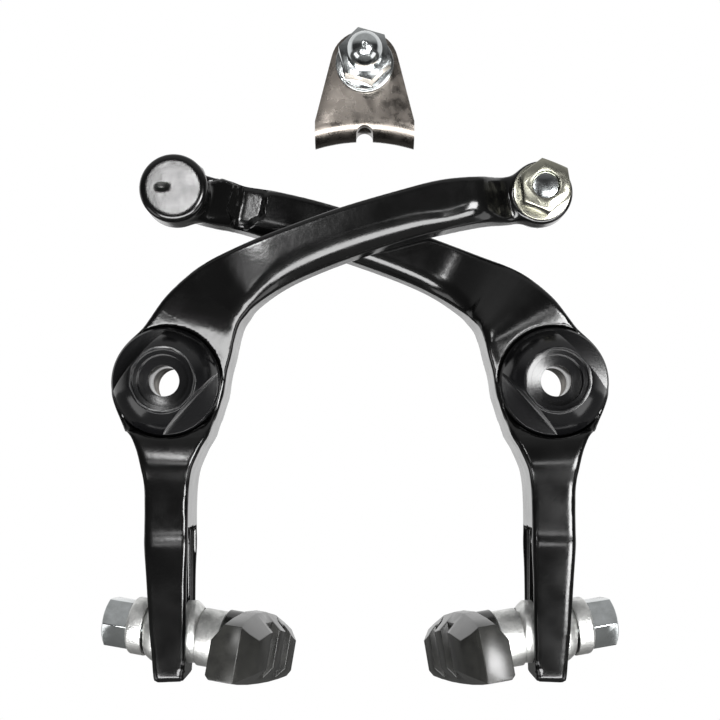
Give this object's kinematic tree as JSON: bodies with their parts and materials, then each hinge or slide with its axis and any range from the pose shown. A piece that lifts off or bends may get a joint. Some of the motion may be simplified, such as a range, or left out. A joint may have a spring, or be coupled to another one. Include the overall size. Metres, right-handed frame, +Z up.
{
  "type": "u-brake",
  "caption": "Centre-crossing bicycle U-brake with curved arms, domed spring-tension nuts, threaded-stud pads on ball washers and a separate straddle-cable hanger.",
  "frame": {"origin": "midway between the two pivot axes, on the plane where the arm bosses meet the bicycle frame", "axes": "+X to the viewer's right, +Y from the brake toward the frame, +Z up toward the cable"},
  "size_m": [0.111, 0.0508, 0.1423],
  "materials": {
    "black_paint": "gloss black paint on forged alloy",
    "black_anodised": "gloss black paint, worn grey on the flats",
    "bronze": "plain bearing bronze",
    "spring_steel": "drawn spring wire",
    "zinc": "bright zinc plate",
    "yellow_zinc": "pale yellow zinc plate",
    "blasted_steel": "grainy blasted steel",
    "brake_rubber": "moulded brake rubber",
    "nickel_plate": "warm grey nickel plated sheet"
  },
  "bodies": {
    "tension_nuts": {"left_tension_nut": "black_anodised", "right_tension_nut": "black_anodised", "front_return_spring": "spring_steel", "rear_return_spring": "spring_steel"},
    "front_arm": {"front_arm": "black_paint", "front_arm_bush": "bronze", "anchor_bolt": "zinc", "anchor_clamp_washer": "zinc", "anchor_front_washer": "yellow_zinc", "anchor_nut": "yellow_zinc"},
    "rear_arm": {"rear_arm": "black_paint", "rear_arm_bush": "bronze"},
    "left_seat_washers": {"left_inner_dome_washer": "blasted_steel", "left_outer_dome_washer": "blasted_steel"},
    "left_tilt_washers": {"left_inner_cup_washer": "blasted_steel", "left_outer_cup_washer": "blasted_steel"},
    "left_pad": {"left_pad": "brake_rubber", "left_pad_stud": "zinc", "left_pad_nut": "zinc"},
    "right_seat_washers": {"right_inner_dome_washer": "blasted_steel", "right_outer_dome_washer": "blasted_steel"},
    "right_tilt_washers": {"right_inner_cup_washer": "blasted_steel", "right_outer_cup_washer": "blasted_steel"},
    "right_pad": {"right_pad": "brake_rubber", "right_pad_stud": "zinc", "right_pad_nut": "zinc"},
    "hanger": {"hanger_plate": "nickel_plate", "hanger_bolt": "zinc", "hanger_washer": "zinc", "hanger_nut": "zinc"}
  },
  "joints": [
    {"name": "front_arm_pivot", "type": "hinge", "parent": "tension_nuts", "child": "front_arm", "pos_m": [-0.0411, -0.008, 0], "axis": [0, -1, 0], "range_deg": [-3.5, 6], "stiffness_Nm_per_rad": 1.5, "deforming": ["front_return_spring"]},
    {"name": "rear_arm_pivot", "type": "hinge", "parent": "tension_nuts", "child": "rear_arm", "pos_m": [0.0411, -0.008, 0], "axis": [0, 1, 0], "range_deg": [-3.5, 6], "stiffness_Nm_per_rad": 1.5, "deforming": ["rear_return_spring"]},
    {"name": "hanger_lift", "type": "slide", "parent": "tension_nuts", "child": "hanger", "axis": [0, 0, 1], "range_m": [-0.0086, 0.0148]},
    {"name": "left_pad_height", "type": "slide", "parent": "front_arm", "child": "left_seat_washers", "axis": [0, 0, 1], "range_m": [-0.001, 0.0144]},
    {"name": "left_pad_toe", "type": "hinge", "parent": "left_seat_washers", "child": "left_tilt_washers", "pos_m": [-0.0404, -0.0107, -0.0534], "axis": [0, 0, 1], "range_deg": [-3, 12]},
    {"name": "left_pad_swivel", "type": "hinge", "parent": "left_tilt_washers", "child": "left_pad", "pos_m": [-0.0404, -0.0107, -0.0534], "axis": [0.9757, -0.1615, -0.1478], "range_deg": [-12, 12]},
    {"name": "right_pad_height", "type": "slide", "parent": "rear_arm", "child": "right_seat_washers", "axis": [0, 0, 1], "range_m": [-0.001, 0.0144]},
    {"name": "right_pad_toe", "type": "hinge", "parent": "right_seat_washers", "child": "right_tilt_washers", "pos_m": [0.0404, -0.0107, -0.0534], "axis": [0, 0, -1], "range_deg": [-3, 12]},
    {"name": "right_pad_swivel", "type": "hinge", "parent": "right_tilt_washers", "child": "right_pad", "pos_m": [0.0404, -0.0107, -0.0534], "axis": [-0.9757, -0.1615, -0.1478], "range_deg": [-12, 12]}
  ],
  "couplings": [
    {"joint": "rear_arm_pivot", "follows": "front_arm_pivot", "ratio": 1},
    {"joint": "hanger_lift", "follows": "front_arm_pivot", "m_per_rad": 0.14}
  ]
}
